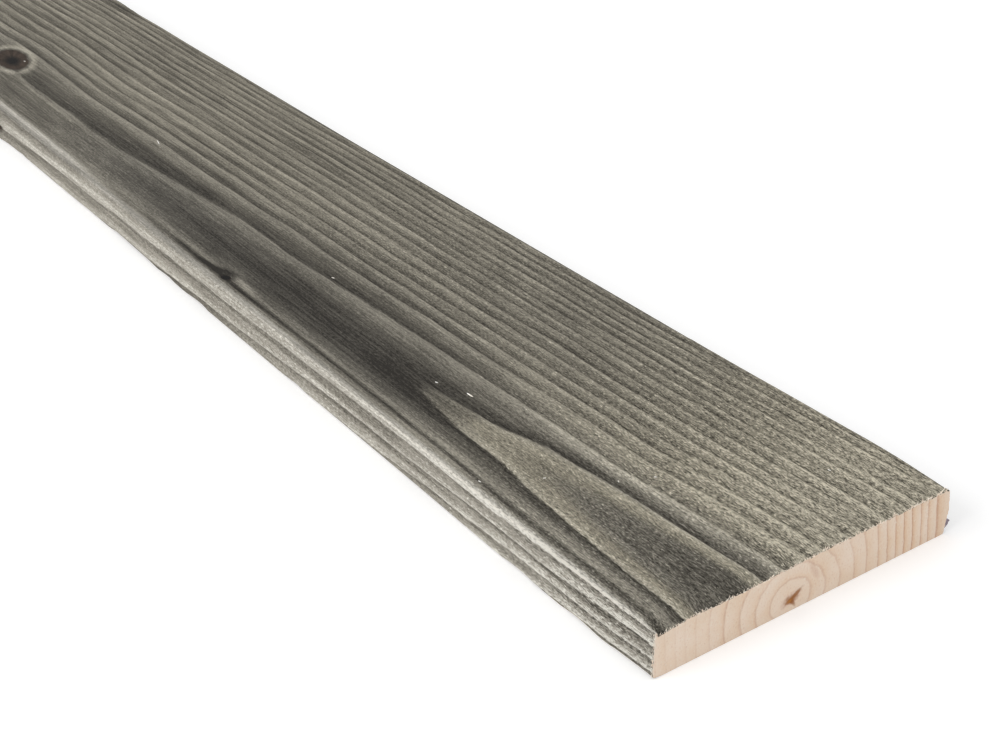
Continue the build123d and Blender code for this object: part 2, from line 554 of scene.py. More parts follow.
def coordinates(mesh):
    """Where the vertices lie, one row each, in metres."""
    values = np.empty(len(mesh.vertices) * 3)
    mesh.vertices.foreach_get("co", values)
    return values.reshape(-1, 3)


def move_to(mesh, places):
    """Moves the vertices to new places, in metres."""
    mesh.vertices.foreach_set("co", places.ravel())
    mesh.update()


def edit_all(tool, **settings):
    """Runs one edit-mode operator on all of the active mesh."""
    bpy.ops.object.mode_set(mode="EDIT")
    bpy.ops.mesh.select_all(action="SELECT")
    tool(**settings)
    bpy.ops.object.mode_set(mode="OBJECT")


def select_edges(piece, choose):
    """Selects, in edit mode, the edges whose two ends satisfy choose."""
    bpy.ops.object.mode_set(mode="OBJECT")
    mesh = piece.data
    places = coordinates(mesh) / MM
    ends = np.empty(len(mesh.edges) * 2, int)
    mesh.edges.foreach_get("vertices", ends)
    ends = ends.reshape(-1, 2)
    chosen = choose(places[ends[:, 0]], places[ends[:, 1]])
    mesh.polygons.foreach_set("select", np.zeros(len(mesh.polygons), bool))
    mesh.vertices.foreach_set("select", np.zeros(len(mesh.vertices), bool))
    mesh.edges.foreach_set("select", chosen)
    bpy.context.tool_settings.mesh_select_mode = (False, True, False)
    bpy.ops.object.mode_set(mode="EDIT")


def along_axis(first, second, axis):
    """Whether each edge runs along one axis."""
    span = np.abs(second - first)
    others = [i for i in range(3) if i != axis]
    return (span[:, axis] > 1e-3) & (span[:, others].max(axis=1) < 1e-3)


def round_edges(piece, choose, radius):
    """Eases the edges that choose picks; the radius is in millimetres."""
    select_edges(piece, choose)
    bpy.ops.mesh.bevel(offset=radius * MM, segments=4, affect="EDGES")


def cut_across(piece, choose, cuts):
    """Cuts the faces evenly across the edges that choose picks."""
    select_edges(piece, choose)
    bpy.ops.mesh.subdivide_edgering(number_cuts=cuts, interpolation="LINEAR")


def make_board_mesh(shape):
    """A block with eased long edges, cut finely enough for the grain."""
    start_clean()
    bpy.ops.mesh.primitive_cube_add(size=1.0, location=(0.0, 0.0, THICKNESS / 2))
    piece = bpy.context.object
    piece.name = piece.data.name = "weathered_board"
    piece.scale = (LENGTH, WIDTH_MM * MM, THICKNESS)
    bpy.ops.object.transform_apply(location=True, rotation=True, scale=True)

    round_edges(piece, lambda a, b: along_axis(a, b, 0) & (a[:, 2] > TOP_MM / 2), SHOW_EDGE_RADIUS)
    round_edges(piece, lambda a, b: along_axis(a, b, 0) & (a[:, 2] < SLACK), BACK_EDGE_RADIUS)
    cut_across(piece, lambda a, b: along_axis(a, b, 0), shape.rows)
    cut_across(piece, lambda a, b: along_axis(a, b, 1) & (a[:, 2] > TOP_MM - SLACK), shape.face_columns)
    cut_across(piece, lambda a, b: along_axis(a, b, 1) & (a[:, 2] < SLACK), shape.back_columns)
    for side in (-HALF_WIDTH, HALF_WIDTH):
        cut_across(
            piece, lambda a, b: along_axis(a, b, 2) & (np.abs(a[:, 1] - side) < SLACK), shape.edge_columns
        )
    bpy.ops.object.mode_set(mode="OBJECT")
    return piece


def spread_rows(piece, rows):
    """Moves the evenly cut rows to where the detail is."""
    places = coordinates(piece.data)
    even = (END_X - places[:, 0]) / LENGTH * (rows + 1)
    spread = row_places(rows + 2)
    places[:, 0] = END_X - np.interp(even, np.arange(rows + 2), spread) * MM
    move_to(piece.data, places)


def swell_edges(piece):
    """Pushes the long edges out where branches come through and the board is crooked."""
    places = coordinates(piece.data)
    u = (END_X - places[:, 0]) / MM
    y, z = places[:, 1] / MM, places[:, 2] / MM
    near = swell_height(u, NEAR_SWELL) + near_crook(u)
    far = swell_height(u, FAR_SWELL) + far_crook(u)
    belly = 0.9 * bell(z, 10.5, 5.5) * bell(u, 0.0, 16.0) * ease(HALF_WIDTH - 2.0, HALF_WIDTH, y)
    far = far * ease(HALF_WIDTH - SWELL_REACH, HALF_WIDTH, y) + belly
    places[:, 1] += (far - near * ease(SWELL_REACH - HALF_WIDTH, -HALF_WIDTH, y)) * MM
    move_to(piece.data, places)


def add_field(mesh, name, values):
    """Stores one value on each vertex for the materials."""
    field = mesh.attributes.new(name, "FLOAT", "POINT")
    field.data.foreach_set("value", values.astype(np.float32))


def side_shares(z):
    """How much each height belongs to the show face, the long edges and the back."""
    face = ease(TOP_MM - SHOW_EDGE_RADIUS * 0.5, TOP_MM - 0.02, z)
    back = fade(0.02, BACK_EDGE_RADIUS * 0.5, z)
    return face, (1.0 - face) * (1.0 - back), back


def store_fields(mesh, u, y, z):
    """Stores the ring counts and tones on the mesh."""
    face, edge, back = face_rings(u, y), edge_rings(u, z), back_rings(u, y)
    add_field(mesh, "face_rings", face)
    add_field(mesh, "edge_rings", edge)
    add_field(mesh, "back_rings", back)
    on_face, on_edge, on_back = side_shares(z)
    face_values = (*face_tone(u, y, face), pace(face_rings, u, y))
    edge_values = (*edge_tone(u, z), pace(edge_rings, u, z))
    back_values = (*PLAIN_BACK, pace(back_rings, u, y))
    for name, face_value, edge_value, back_value in zip(
        ("tone_low", "tone_span", "fuzz", "warmth", "pace"), face_values, edge_values, back_values
    ):
        add_field(mesh, name, on_face * face_value + on_edge * edge_value + on_back * back_value)


def wear_depth(shape, u, y, z):
    """How deep each point is worn, chipped or torn, in metres."""
    on_face, on_edge, on_back = side_shares(z)
    depth = (
        on_face * shape.face_relief * (1.0 - ring_profile(face_rings(u, y)))
        + on_edge * shape.edge_relief * (1.0 - ring_profile(edge_rings(u, z)))
        + on_back * shape.back_relief * (1.0 - ring_profile(back_rings(u, y)))
    )
    ragged = np.random.default_rng(WEAR_SEED).random(len(u)) * fade(0.1, 5.0, u) * (1.0 - on_back)
    depth = depth * (0.5 + 0.5 * ease(-0.01, 4.0, u)) + ragged * shape.end_ragged
    chips = np.sin(u / 5.3) + np.sin(u / 13.0 + 1.0) + 1.4 * np.sin(u / 67.0 + 2.0) + np.sin(u / 29.0)
    chips = np.clip(chips - 0.6, 0.0, 1.2)
    near_arris = bell(z, 0.0, 1.3) * (y < CHIP_REACH - HALF_WIDTH) * (u < 800.0)
    depth = depth + shape.chipped * chips * near_arris
    return depth + shape.end_wear * border_share(y) * on_face * fade(-2.0, 9.0, u)


def lay_grain(piece, shape):
    """Wears the soft wood away between the ridges and keeps the sawn ends flat."""
    mesh = piece.data
    places = coordinates(mesh) / MM
    u = END_MM - places[:, 0]
    y, z = places[:, 1], places[:, 2]
    store_fields(mesh, u, y, z)
    depth = wear_depth(shape, u, y, z)
    deepest = depth.max()
    group = piece.vertex_groups.new(name="worn")
    for index, weight in enumerate(depth / deepest):
        group.add((index,), float(weight), "REPLACE")
    wear = piece.modifiers.new("Wear", "DISPLACE")
    wear.vertex_group = "worn"
    wear.direction = "NORMAL"
    wear.strength = -deepest
    wear.mid_level = 0.0
    bpy.context.view_layer.objects.active = piece
    bpy.ops.object.modifier_apply(modifier="Wear")
    piece.vertex_groups.clear()
    worn = coordinates(mesh)
    at_end = (u < SLACK) | (u > LENGTH_MM - SLACK)
    worn[at_end, 0] = places[at_end, 0] * MM
    top_border = at_end & (side_shares(z)[0] > 0.9)
    worn[top_border, 2] = places[top_border, 2] * MM - depth[top_border]
    move_to(mesh, worn)


def give_materials(piece, materials):
    """Face, edges, back and sawn ends by where each polygon looks."""
    for material in materials:
        piece.data.materials.append(material)
    mesh = piece.data
    normals = np.empty(len(mesh.polygons) * 3)
    centres = np.empty(len(mesh.polygons) * 3)
    mesh.polygons.foreach_get("normal", normals)
    mesh.polygons.foreach_get("center", centres)
    normals = normals.reshape(-1, 3)
    z = centres.reshape(-1, 3)[:, 2] / MM
    index = np.full(len(mesh.polygons), 1)
    index[(normals[:, 2] > 0.0) & (z > TOP_MM - SHOW_EDGE_RADIUS * 0.62)] = 0
    index[(normals[:, 2] < 0.0) & (z < BACK_EDGE_RADIUS * 0.4)] = 2
    sawn = np.abs(normals[:, 0]) > 0.9
    index[sawn] = 3
    mesh.polygons.foreach_set("material_index", index)
    mesh.polygons.foreach_set("use_smooth", ~sawn)
    mesh.update()


# Shader helpers

def add(tree, kind, inputs=None, **settings):
    """A new node with its settings and inputs; an input is a value or a socket to link from."""
    made = tree.nodes.new(kind)
    for name, value in settings.items():
        setattr(made, name, value)
    for name, value in (inputs or {}).items():
        if isinstance(value, bpy.types.NodeSocket):
            tree.links.new(value, made.inputs[name])
        else:
            made.inputs[name].default_value = value
    return made


def calc(tree, operation, first, second=0.0, third=0.0, clamp=False):
    """One step of arithmetic."""
    inputs = {0: first, 1: second, 2: third}
    return add(tree, "ShaderNodeMath", inputs, operation=operation, use_clamp=clamp).outputs[0]


def times(tree, first, second, clamp=False):
    """The product of two values."""
    return calc(tree, "MULTIPLY", first, second, clamp=clamp)


def add_share(tree, value, share, base, clamp=False):
    """A share of a value on top of a base."""
    return calc(tree, "MULTIPLY_ADD", value, share, base, clamp)


def blend(tree, factor, first, second, how="MIX"):
    """Two colours mixed."""
    node = add(tree, "ShaderNodeMix", {0: factor, 6: first, 7: second}, data_type="RGBA", blend_type=how)
    return node.outputs[2]


def remap(tree, value, low, high, to_low=0.0, to_high=1.0):
    """A value moved from one range to another and held inside it."""
    inputs = {"Value": value, "From Min": low, "From Max": high, "To Min": to_low, "To Max": to_high}
    return add(tree, "ShaderNodeMapRange", inputs).outputs[0]


def stored(tree, field):
    """A value that the mesh holds on its vertices."""
    return add(tree, "ShaderNodeAttribute", attribute_name=field).outputs["Fac"]


def object_coords(tree):
    """Places in the object's own frame, in metres."""
    return add(tree, "ShaderNodeTexCoord").outputs["Object"]


def grain_noise(tree, coords, scale, detail, roughness=0.55, place=(0.0, 0.0, 0.0)):
    """Noise whose cells are stretched by the scale, given as cells to the metre along each axis."""
    mapping = {"Vector": coords, "Scale": scale, "Location": place}
    vector = add(tree, "ShaderNodeMapping", mapping).outputs[0]
    inputs = {"Vector": vector, "Scale": 1.0, "Detail": detail, "Roughness": roughness}
    return add(tree, "ShaderNodeTexNoise", inputs).outputs[0]


def centred(tree, value):
    """Noise moved so that its middle is 0."""
    return calc(tree, "SUBTRACT", value, 0.5)


def set_stops(color_ramp, stops):
    """Gives a colour ramp its (place, colour) stops."""
    elements = color_ramp.elements
    while len(elements) < len(stops):
        elements.new(0.5)
    for element, (place, colour) in zip(elements, stops):
        element.position = place
        element.color = colour


def ramp(tree, value, stops):
    """A grey ramp through (place, level) stops."""
    node = add(tree, "ShaderNodeValToRGB", {0: value})
    set_stops(node.color_ramp, [(place, (level, level, level, 1.0)) for place, level in stops])
    return node.outputs[0]


def new_group(name, inputs, outputs):
    """An empty node group, the values it is given and the sockets it puts out."""
    tree = bpy.data.node_groups.new(name, "ShaderNodeTree")
    for label, default in inputs.items():
        kind = "NodeSocketFloat" if isinstance(default, float) else "NodeSocketVector"
        tree.interface.new_socket(label, in_out="INPUT", socket_type=kind).default_value = default
    for label in outputs:
        tree.interface.new_socket(label, in_out="OUTPUT", socket_type="NodeSocketFloat")
    return tree, tree.nodes.new("NodeGroupInput").outputs, tree.nodes.new("NodeGroupOutput").inputs


def weathered_grain_group():
    """Tone and height of worn ridges and hollows with fibres, flecks and pits, from a ring count. The ring
    tone holds painted shade just past each drop and a painted highlight near each crest.
    """
    name = "weathered grain"
    if name in bpy.data.node_groups:
        return bpy.data.node_groups[name]
    inputs = {"Rings": 0.0, "Low": 0.3, "Span": 0.3, "Fuzz": 0.5, "Pace": 0.15, "Streaks": STREAKS["face"]}
    tree, given, out = new_group(name, inputs, ("Tone", "Height"))
    coords = object_coords(tree)
    noise = {label: grain_noise(tree, coords, *settings) for label, settings in GRAIN_NOISES.items()}
    spots = noise.pop("spots")
    noise = {label: centred(tree, value) for label, value in noise.items()}
    fuzz = given["Fuzz"]
    shift = add_share(tree, times(tree, noise["ragged"], fuzz), 3.0, times(tree, noise["wander"], 5.0))
    phase = calc(tree, "FRACT", add_share(tree, shift, given["Pace"], given["Rings"]))
    ridge = ramp(tree, phase, RIDGE_AND_PAINTED_LIGHT_STOPS)
    pits = remap(tree, spots, 0.64, 0.74)
    hairs = remap(tree, spots, 0.36, 0.26)
    lively = add_share(tree, fuzz, 1.95, 0.3)
    # Tone over the ring: real earlywood and latewood colour, with painted shade past each drop and a
    # painted highlight near the crest
    tone = add_share(tree, ridge, given["Span"], given["Low"])
    tone = add_share(tree, noise["streak"], given["Streaks"], tone)
    tone = add_share(tree, noise["fibre"], add_share(tree, fuzz, -0.36, 0.68), tone)
    tone = add_share(tree, noise["patch"], 0.2, tone)
    tone = add_share(tree, noise["fleck"], lively, tone)
    tone = add_share(tree, times(tree, pits, fuzz), -0.4, tone)
    tone = add_share(tree, times(tree, hairs, fuzz), 0.6, tone, clamp=True)
    height = add_share(tree, ridge, 0.5, times(tree, noise["fibre"], 0.6))
    height = add_share(tree, noise["fleck"], lively, height)
    height = add_share(tree, pits, -0.3, height)
    tree.links.new(tone, out["Tone"])
    tree.links.new(height, out["Height"])
    return tree


def oval_group():
    """Distance from the heart of a turned oval, 1 at its uneven rim, and streaks that run out from it."""
    name = "turned oval"
    if name in bpy.data.node_groups:
        return bpy.data.node_groups[name]
    middle, unit = (0.0, 0.0, 0.0), (1.0, 1.0, 1.0)
    inputs = {"Centre": middle, "Half size": unit, "Turn": middle, "Uneven": 0.5}
    tree, given, out = new_group(name, inputs, ("Distance", "Streak"))
    coords = object_coords(tree)
    mapping = {"Vector": coords, "Location": given["Centre"], "Rotation": given["Turn"]}
    mapping["Scale"] = given["Half size"]
    local = add(tree, "ShaderNodeMapping", mapping, vector_type="TEXTURE").outputs[0]
    length = add(tree, "ShaderNodeVectorMath", {0: local}, operation="LENGTH").outputs["Value"]
    ahead = add(tree, "ShaderNodeVectorMath", {0: local}, operation="NORMALIZE").outputs[0]
    noise = centred(tree, grain_noise(tree, coords, (160.0, 300.0, 300.0), 3.0))
    tree.links.new(add_share(tree, noise, given["Uneven"], length), out["Distance"])
    tree.links.new(grain_noise(tree, ahead, (2.6, 2.6, 2.6), 4.0, 0.6), out["Streak"])
    return tree


def empty_tree(owner):
    """The node tree of a material or world, with nothing in it."""
    owner.use_nodes = True
    owner.node_tree.nodes.clear()
    return owner.node_tree


def new_material(name):
    """A new material, its node tree and the inputs of its one shader."""
    material = bpy.data.materials.new(name)
    tree = empty_tree(material)
    shader = tree.nodes.new("ShaderNodeBsdfPrincipled")
    output = tree.nodes.new("ShaderNodeOutputMaterial")
    tree.links.new(shader.outputs[0], output.inputs[0])
    return material, tree, shader.inputs


def finish_surface(tree, surface, colour, roughness, shine):
    """Gives a surface its colour, roughness and shine."""
    tree.links.new(colour, surface["Base Color"])
    surface["Roughness"].default_value = roughness
    surface["Specular IOR Level"].default_value = shine


def add_bump(tree, surface, height, strength, depth):
    """Gives a surface fine relief, its depth in metres."""
    bump = add(tree, "ShaderNodeBump", {"Height": height, "Strength": strength, "Distance": depth})
    tree.links.new(bump.outputs[0], surface["Normal"])


def oval(tree, centre, half_size, turn, uneven):
    """The outputs of a turned oval; its place and half sizes are in millimetres."""
    inputs = {"Centre": Vector(centre) * MM, "Half size": Vector(half_size) * MM}
    inputs.update({"Turn": turn, "Uneven": uneven})
    return add(tree, "ShaderNodeGroup", inputs, node_tree=oval_group()).outputs


def knot_oval(tree, knot, share=1.0, shift=(0.0, 0.0, 0.0)):
    """The oval of one knot, scaled by a share, with its heart shifted in millimetres."""
    along, across, up = shift
    centre = (END_MM - knot["from_end"] - along, knot["y"] + across, knot["z"] + up)
    half_size = [size * share / 2 for size in knot["size"]]
    return oval(tree, centre, half_size, (0.0, 0.0, knot["turn"]), 0.25)


def knot_wood(tree, body, knot, colours):
    """Brown wood of a knot, streaked from its heart and blackest there and at its rim."""
    wood = remap(tree, body["Streak"], 0.4, 0.8, 0.0, 0.6)
    wood = blend(tree, wood, colours.knot_bark, colours.knot_worn)
    wood = blend(tree, remap(tree, body["Distance"], 0.75, 1.0, 0.0, 0.35), wood, colours.knot_core)
    heart = knot_oval(tree, knot, knot["heart_share"], knot["heart"])
    dark = add_share(tree, centred(tree, heart["Streak"]), 0.5, heart["Distance"])
    return blend(tree, remap(tree, dark, 0.4, 1.0, 1.0, 0.0), wood, colours.knot_core)


def weathered_material(side, colours, knots=(), shades=()):
    """Greyed wood of one side, whose ring count and tones are stored on the mesh, with knots in it."""
    material, tree, surface = new_material(f"weathered_{side}")
    fields = {"Low": "tone_low", "Span": "tone_span", "Fuzz": "fuzz", "Pace": "pace"}
    inputs = {socket: stored(tree, field) for socket, field in fields.items()}
    inputs.update({"Rings": stored(tree, f"{side}_rings"), "Streaks": STREAKS[side]})
    grain = add(tree, "ShaderNodeGroup", inputs, node_tree=weathered_grain_group()).outputs
    tone = grain["Tone"]
    for from_end, y, half_size, turn, added in shades:
        shade = oval(tree, (END_MM - from_end, y, TOP_MM), (*half_size, TOP_MM), (0.0, 0.0, turn), 0.35)
        tone = add_share(tree, remap(tree, shade["Distance"], 0.15, 1.15, 1.0, 0.0), added, tone)
    bodies = [knot_oval(tree, knot) for knot in knots]
    for body, knot in zip(bodies, knots):
        halo = ramp(tree, calc(tree, "DIVIDE", body["Distance"], 2.0), HALO_STOPS)
        tone = add_share(tree, halo, knot["halo"], tone, clamp=True)
    steps = [getattr(colours, f"{side}_{step}") for step in TONE_STEPS]
    colour = add(tree, "ShaderNodeValToRGB", {0: tone})
    set_stops(colour.color_ramp, tuple(zip(TONE_PLACES, steps)))
    colour = blend(tree, stored(tree, "warmth"), colour.outputs[0], colours.warm_tint, "MULTIPLY")
    for body, knot in zip(bodies, knots):
        inside = remap(tree, body["Distance"], 0.9, 1.06, 1.0, 0.0)
        colour = blend(tree, inside, colour, knot_wood(tree, body, knot, colours))
    finish_surface(tree, surface, colour, 0.85, 0.2)
    add_bump(tree, surface, grain["Height"], 0.8, 0.7 * MM)
    return material


def end_ring_phase(tree, coords, across, up):
    """How far each point of the sawn end lies through its growth ring, from 0 to 1."""
    wobble = centred(tree, grain_noise(tree, coords, (40.0, 120.0, 120.0), 3.0))
    across = add_share(tree, up, END_LEAN, across)
    across = calc(tree, "SUBTRACT", across, (PITH_Y + END_LEAN * PITH_Z) * MM)
    away = calc(tree, "ABSOLUTE", across)
    up = calc(tree, "SUBTRACT", up, PITH_Z * MM)
    up = times(tree, up, remap(tree, away, 0.02, 0.05, 1.12, 0.55))
    radius = calc(tree, "SQRT", add_share(tree, up, up, times(tree, across, across)))
    radius = add_share(tree, wobble, remap(tree, away, 0.015, 0.035, 0.0034, 0.0012), radius)
    count = add(tree, "ShaderNodeFloatCurve", {"Value": calc(tree, "DIVIDE", radius, END_RINGS[-1] * MM)})
    points = count.mapping.curves[0].points
    for index, ring in enumerate(END_RINGS[:-1]):
        points.new(ring / END_RINGS[-1], (index + 1) / len(END_RINGS))
    for point in points:
        point.handle_type = "VECTOR"
    count.mapping.update()
    return calc(tree, "FRACT", times(tree, count.outputs[0], float(len(END_RINGS))))


def fresh_end_material(colours):
    """The pale sawn end with thin ring lines round a brown pith."""
    material, tree, surface = new_material("fresh_sawn_end")
    coords = object_coords(tree)
    _, across, up = add(tree, "ShaderNodeSeparateXYZ", {0: coords}).outputs
    phase = end_ring_phase(tree, coords, across, up)
    cloud = grain_noise(tree, coords, (60.0, 70.0, 70.0), 3.0)
    far = ramp(tree, remap(tree, across, -HALF_WIDTH * MM, HALF_WIDTH * MM), ACROSS_STOPS)
    far = times(tree, far, remap(tree, cloud, 0.3, 0.7, 0.55, 1.25), clamp=True)
    colour = blend(tree, remap(tree, cloud, 0.35, 0.65), colours.fresh_pale, colours.fresh_warm)
    colour = blend(tree, times(tree, ramp(tree, phase, TAN_STOPS), far), colour, colours.fresh_tan)
    colour = blend(tree, times(tree, ramp(tree, phase, LINE_STOPS), far), colour, colours.fresh_line)
    grains = grain_noise(tree, coords, (900.0, 1300.0, 900.0), 2.0, 0.7)
    colour = blend(tree, remap(tree, grains, 0.56, 0.74, 0.0, 0.65), colour, colours.fibre)
    colour = blend(tree, remap(tree, grains, 0.42, 0.28, 0.0, 0.4), colour, colours.fresh_line)
    for (y, z), (wide, high), turn, strength, shade in PITH_STAINS:
        stain = oval(tree, (END_MM, y, z), (TOP_MM, wide, high), (turn, 0.0, 0.0), 1.3)["Distance"]
        colour = blend(tree, remap(tree, stain, 0.45, 1.1, strength, 0.0), colour, getattr(colours, shade))
    fringe = centred(tree, grain_noise(tree, coords, (500.0, 1600.0, 700.0), 2.0, 0.6, (2.0, 6.0, 1.0)))
    near = add_share(tree, fringe, 0.004, times(tree, across, -1.0))
    border = remap(tree, near, (HALF_WIDTH - 0.9) * MM, (HALF_WIDTH - 0.1) * MM, 0.0, 0.8)
    colour = blend(tree, border, colour, colours.fibre)
    finish_surface(tree, surface, colour, 0.75, 0.25)
    add_bump(tree, surface, grains, 0.35, 0.3 * MM)
    return material


def fibre_material(name, first, second):
    """Pale torn fibres, a little uneven in colour."""
    material, tree, surface = new_material(name)
    coords = object_coords(tree)
    uneven = grain_noise(tree, coords, (300.0, 700.0, 700.0), 2.0)
    colour = blend(tree, remap(tree, uneven, 0.35, 0.65), first, second)
    finish_surface(tree, surface, colour, 0.8, 0.2)
    return material


def dark_splinter_material(colours):
    """Dark weathered wood of the edge splinter, streaked along the grain."""
    material, tree, surface = new_material("dark_splinter")
    coords = object_coords(tree)
    streak = grain_noise(tree, coords, (120.0, 1400.0, 1400.0), 3.0, 0.6)
    colour = blend(tree, remap(tree, streak, 0.3, 0.7), colours.splinter_dark, colours.splinter_pale)
    finish_surface(tree, surface, colour, 0.85, 0.2)
    add_bump(tree, surface, streak, 0.5, 0.4 * MM)
    return material


def many_copies(name, template, places, turns, sizes):
    """One mesh of many copies of a template, each with its place, turn matrix and size."""
    shape = coordinates(template.data)
    faces = np.array([list(face.vertices) for face in template.data.polygons])
    points = np.einsum("nij,nvj->nvi", turns, shape[None] * sizes[:, None]) + places[:, None]
    indices = faces[None] + np.arange(len(places))[:, None, None] * len(shape)
    mesh = bpy.data.meshes.new(name)
    mesh.from_pydata(points.reshape(-1, 3).tolist(), [], indices.reshape(-1, faces.shape[1]).tolist())
    mesh.update()
    bpy.data.objects.remove(template)
    piece = bpy.data.objects.new(name, mesh)
    bpy.context.collection.objects.link(piece)
    return piece


def turns_along(directions):
    """Turn matrices whose X axis follows each direction."""
    ahead = directions / np.linalg.norm(directions, axis=1, keepdims=True)
    side = np.cross(np.array((0.0, 0.0, 1.0)), ahead)
    side /= np.linalg.norm(side, axis=1, keepdims=True)
    return np.stack([ahead, side, np.cross(ahead, side)], axis=2)


def sliver_template():
    """A four-sided sliver one unit long, pointed at both ends, lying along X."""
    start_clean()
    bpy.ops.mesh.primitive_cylinder_add(vertices=4, radius=0.5, depth=0.5, end_fill_type="TRIFAN")
    sliver = bpy.context.object
    edit_all(bpy.ops.mesh.quads_convert_to_tris)
    shape = coordinates(sliver.data)
    tips = np.hypot(shape[:, 0], shape[:, 1]) < 1e-6
    shape[tips, 2] *= 2.0
    move_to(sliver.data, shape[:, (2, 0, 1)])
    return sliver


def face_height(u, y, shape):
    """Height of the worn show face above the back, in metres."""
    return THICKNESS - shape.face_relief * (1.0 - ring_profile(face_rings(u, y)))


class BOARD_OT_torn_fibres(bpy.types.Operator):
    """Make the pale fibres torn out by the saw along the borders of the sawn end"""

    bl_idname = "board.torn_fibres"
    bl_label = "Torn fibres"

    def execute(self, context):
        shape = context.scene.board_shape
        draw = np.random.default_rng(FIBRE_SEED)
        top, side = shape.top_fibres, shape.side_fibres
        count = top + side
        on_top = np.arange(count) < top
        along_top = draw.uniform(1.0 - HALF_WIDTH, HALF_WIDTH - 1.0, top)
        y = np.concatenate((along_top, np.full(side, 0.15 - HALF_WIDTH)))
        worn = shape.end_wear * border_share(along_top) + shape.end_ragged * 0.5
        z = (face_height(np.zeros(top), along_top, shape) + THICKNESS) / MM / 2 - worn / MM
        z = np.concatenate((z, draw.uniform(0.8, TOP_MM - 1.0, side)))
        places = np.stack((END_MM - draw.uniform(0.0, 0.5, count), y, z), axis=1)
        lean = draw.normal(0.0, 1.0, (count, 3))
        directions = np.stack((
            0.35 + 0.3 * lean[:, 0],
            np.where(on_top, 0.0, -0.5) + 0.45 * lean[:, 1],
            np.where(on_top, 0.75, 0.2) + 0.25 * lean[:, 2],
        ), axis=1)
        length = draw.uniform(0.9, 1.8, count) + draw.exponential(0.7, count)
        length *= np.where(on_top, 1.0 + 0.6 * ease(44.0, 56.0, y), 0.5)
        width = draw.uniform(0.22, 0.42, count) * np.where(on_top, 1.0, 0.65)
        piece = many_copies(
            "torn_fibres", sliver_template(), places * MM, turns_along(directions),
            np.stack((length, width, width * 0.7), axis=1) * MM,
        )
        colours = context.scene.board_colours
        piece.data.materials.append(fibre_material("torn_fibre", colours.fibre, colours.fresh_pale))
        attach(piece, "root")
        return {"FINISHED"}


class BOARD_OT_edge_splinter(bpy.types.Operator):
    """Make the dark splinter that stands off the far long edge at the sawn end"""

    bl_idname = "board.edge_splinter"
    bl_label = "Edge splinter"

    def execute(self, context):
        start_clean()
        bpy.ops.mesh.primitive_cylinder_add(vertices=24, radius=0.5, depth=1.0)
        piece = context.object
        piece.name = piece.data.name = "edge_splinter"
        edit_all(bpy.ops.mesh.subdivide, number_cuts=3)
        out, up, ahead = coordinates(piece.data).T
        out, back = out + 0.5, 0.5 - ahead
        taper = 1.0 - back**1.6 * 0.97
        uneven = 1.0 + 0.16 * np.sin(back * 19.0 + (out - 0.5) * 9.0)
        uneven += 0.1 * np.sin(back * 41.0 + up * 14.0)
        lens = 1.0 - 0.8 * (2.0 * np.abs(up)) ** 2
        outward = out * taper * uneven * lens
        upward = up * taper * uneven * (1.0 - 0.45 * out)
        reach = SPLINTER_ROOT_DEPTH + SPLINTER_STANDS_OFF + SPLINTER_STANDS_FURTHER
        places = np.stack((
            END_MM - SPLINTER_FROM_END - back * SPLINTER_LENGTH,
            HALF_WIDTH + far_crook(0.0) - SPLINTER_ROOT_DEPTH + outward * reach,
            SPLINTER_FROM_BACK + SPLINTER_HEIGHT / 2 + upward * SPLINTER_HEIGHT,
        ), axis=1)
        move_to(piece.data, places * MM)
        edit_all(bpy.ops.mesh.normals_make_consistent, inside=False)
        bpy.ops.object.transform_apply(location=True, rotation=True, scale=True)
        piece.data.materials.append(dark_splinter_material(context.scene.board_colours))
        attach(piece, "root")
        return {"FINISHED"}


class BOARD_OT_loose_splinters(bpy.types.Operator):
    """Make the few pale splinters that lie on the show face"""

    bl_idname = "board.loose_splinters"
    bl_label = "Loose splinters"

    def execute(self, context):
        shape = context.scene.board_shape
        u, y, length, width, turn = np.array(LOOSE_SPLINTERS).T
        z = face_height(u, y, shape) + LOOSE_LIFT * MM
        places = np.stack((END_X - u * MM, y * MM, z), axis=1)
        directions = np.stack((np.cos(turn), np.sin(turn), np.zeros_like(turn)), axis=1)
        sizes = np.stack((length, width, np.full_like(width, LOOSE_HEIGHT)), axis=1) * MM
        piece = many_copies("loose_splinters", sliver_template(), places, turns_along(directions), sizes)
        colours = context.scene.board_colours
        piece.data.materials.append(fibre_material("white_fibre", colours.white_fibre, colours.fibre))
        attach(piece, "root")
        return {"FINISHED"}


class BOARD_OT_weathered_board(bpy.types.Operator):
    """Make the weathered board with its worn grain and sawn ends"""

    bl_idname = "board.weathered_board"
    bl_label = "Weathered board"

    def execute(self, context):
        shape = context.scene.board_shape
        colours = context.scene.board_colours
        piece = make_board_mesh(shape)
        spread_rows(piece, shape.rows)
        swell_edges(piece)
        give_materials(
            piece,
            (
                weathered_material("face", colours, FACE_KNOTS, FACE_SHADES),
                weathered_material("edge", colours, EDGE_KNOTS),
                weathered_material("back", colours),
                fresh_end_material(colours),
            ),
        )
        lay_grain(piece, shape)
        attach(piece, "root")
        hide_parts("board")
        return {"FINISHED"}


class BOARD_OT_studio_stage(bpy.types.Operator):
    """Make the pale floor, the soft light and the camera"""

    bl_idname = "board.studio_stage"
    bl_label = "Studio stage"

    def execute(self, context):
        stage = context.scene.board_stage
        start_clean()
        bpy.ops.mesh.primitive_plane_add(size=stage.floor_size, location=FLOOR_PLACE)
        floor = context.object
        floor.name = "floor"
        floor.data.materials.append(floor_material())
        light_world(context.scene, stage.sky)
        add_lamp("key_lamp", KEY_PLACE, KEY_TARGET, KEY_SIZE, stage.key)
        place_camera(context.scene, stage)
        context.scene.view_settings.view_transform = "Standard"
        return {"FINISHED"}


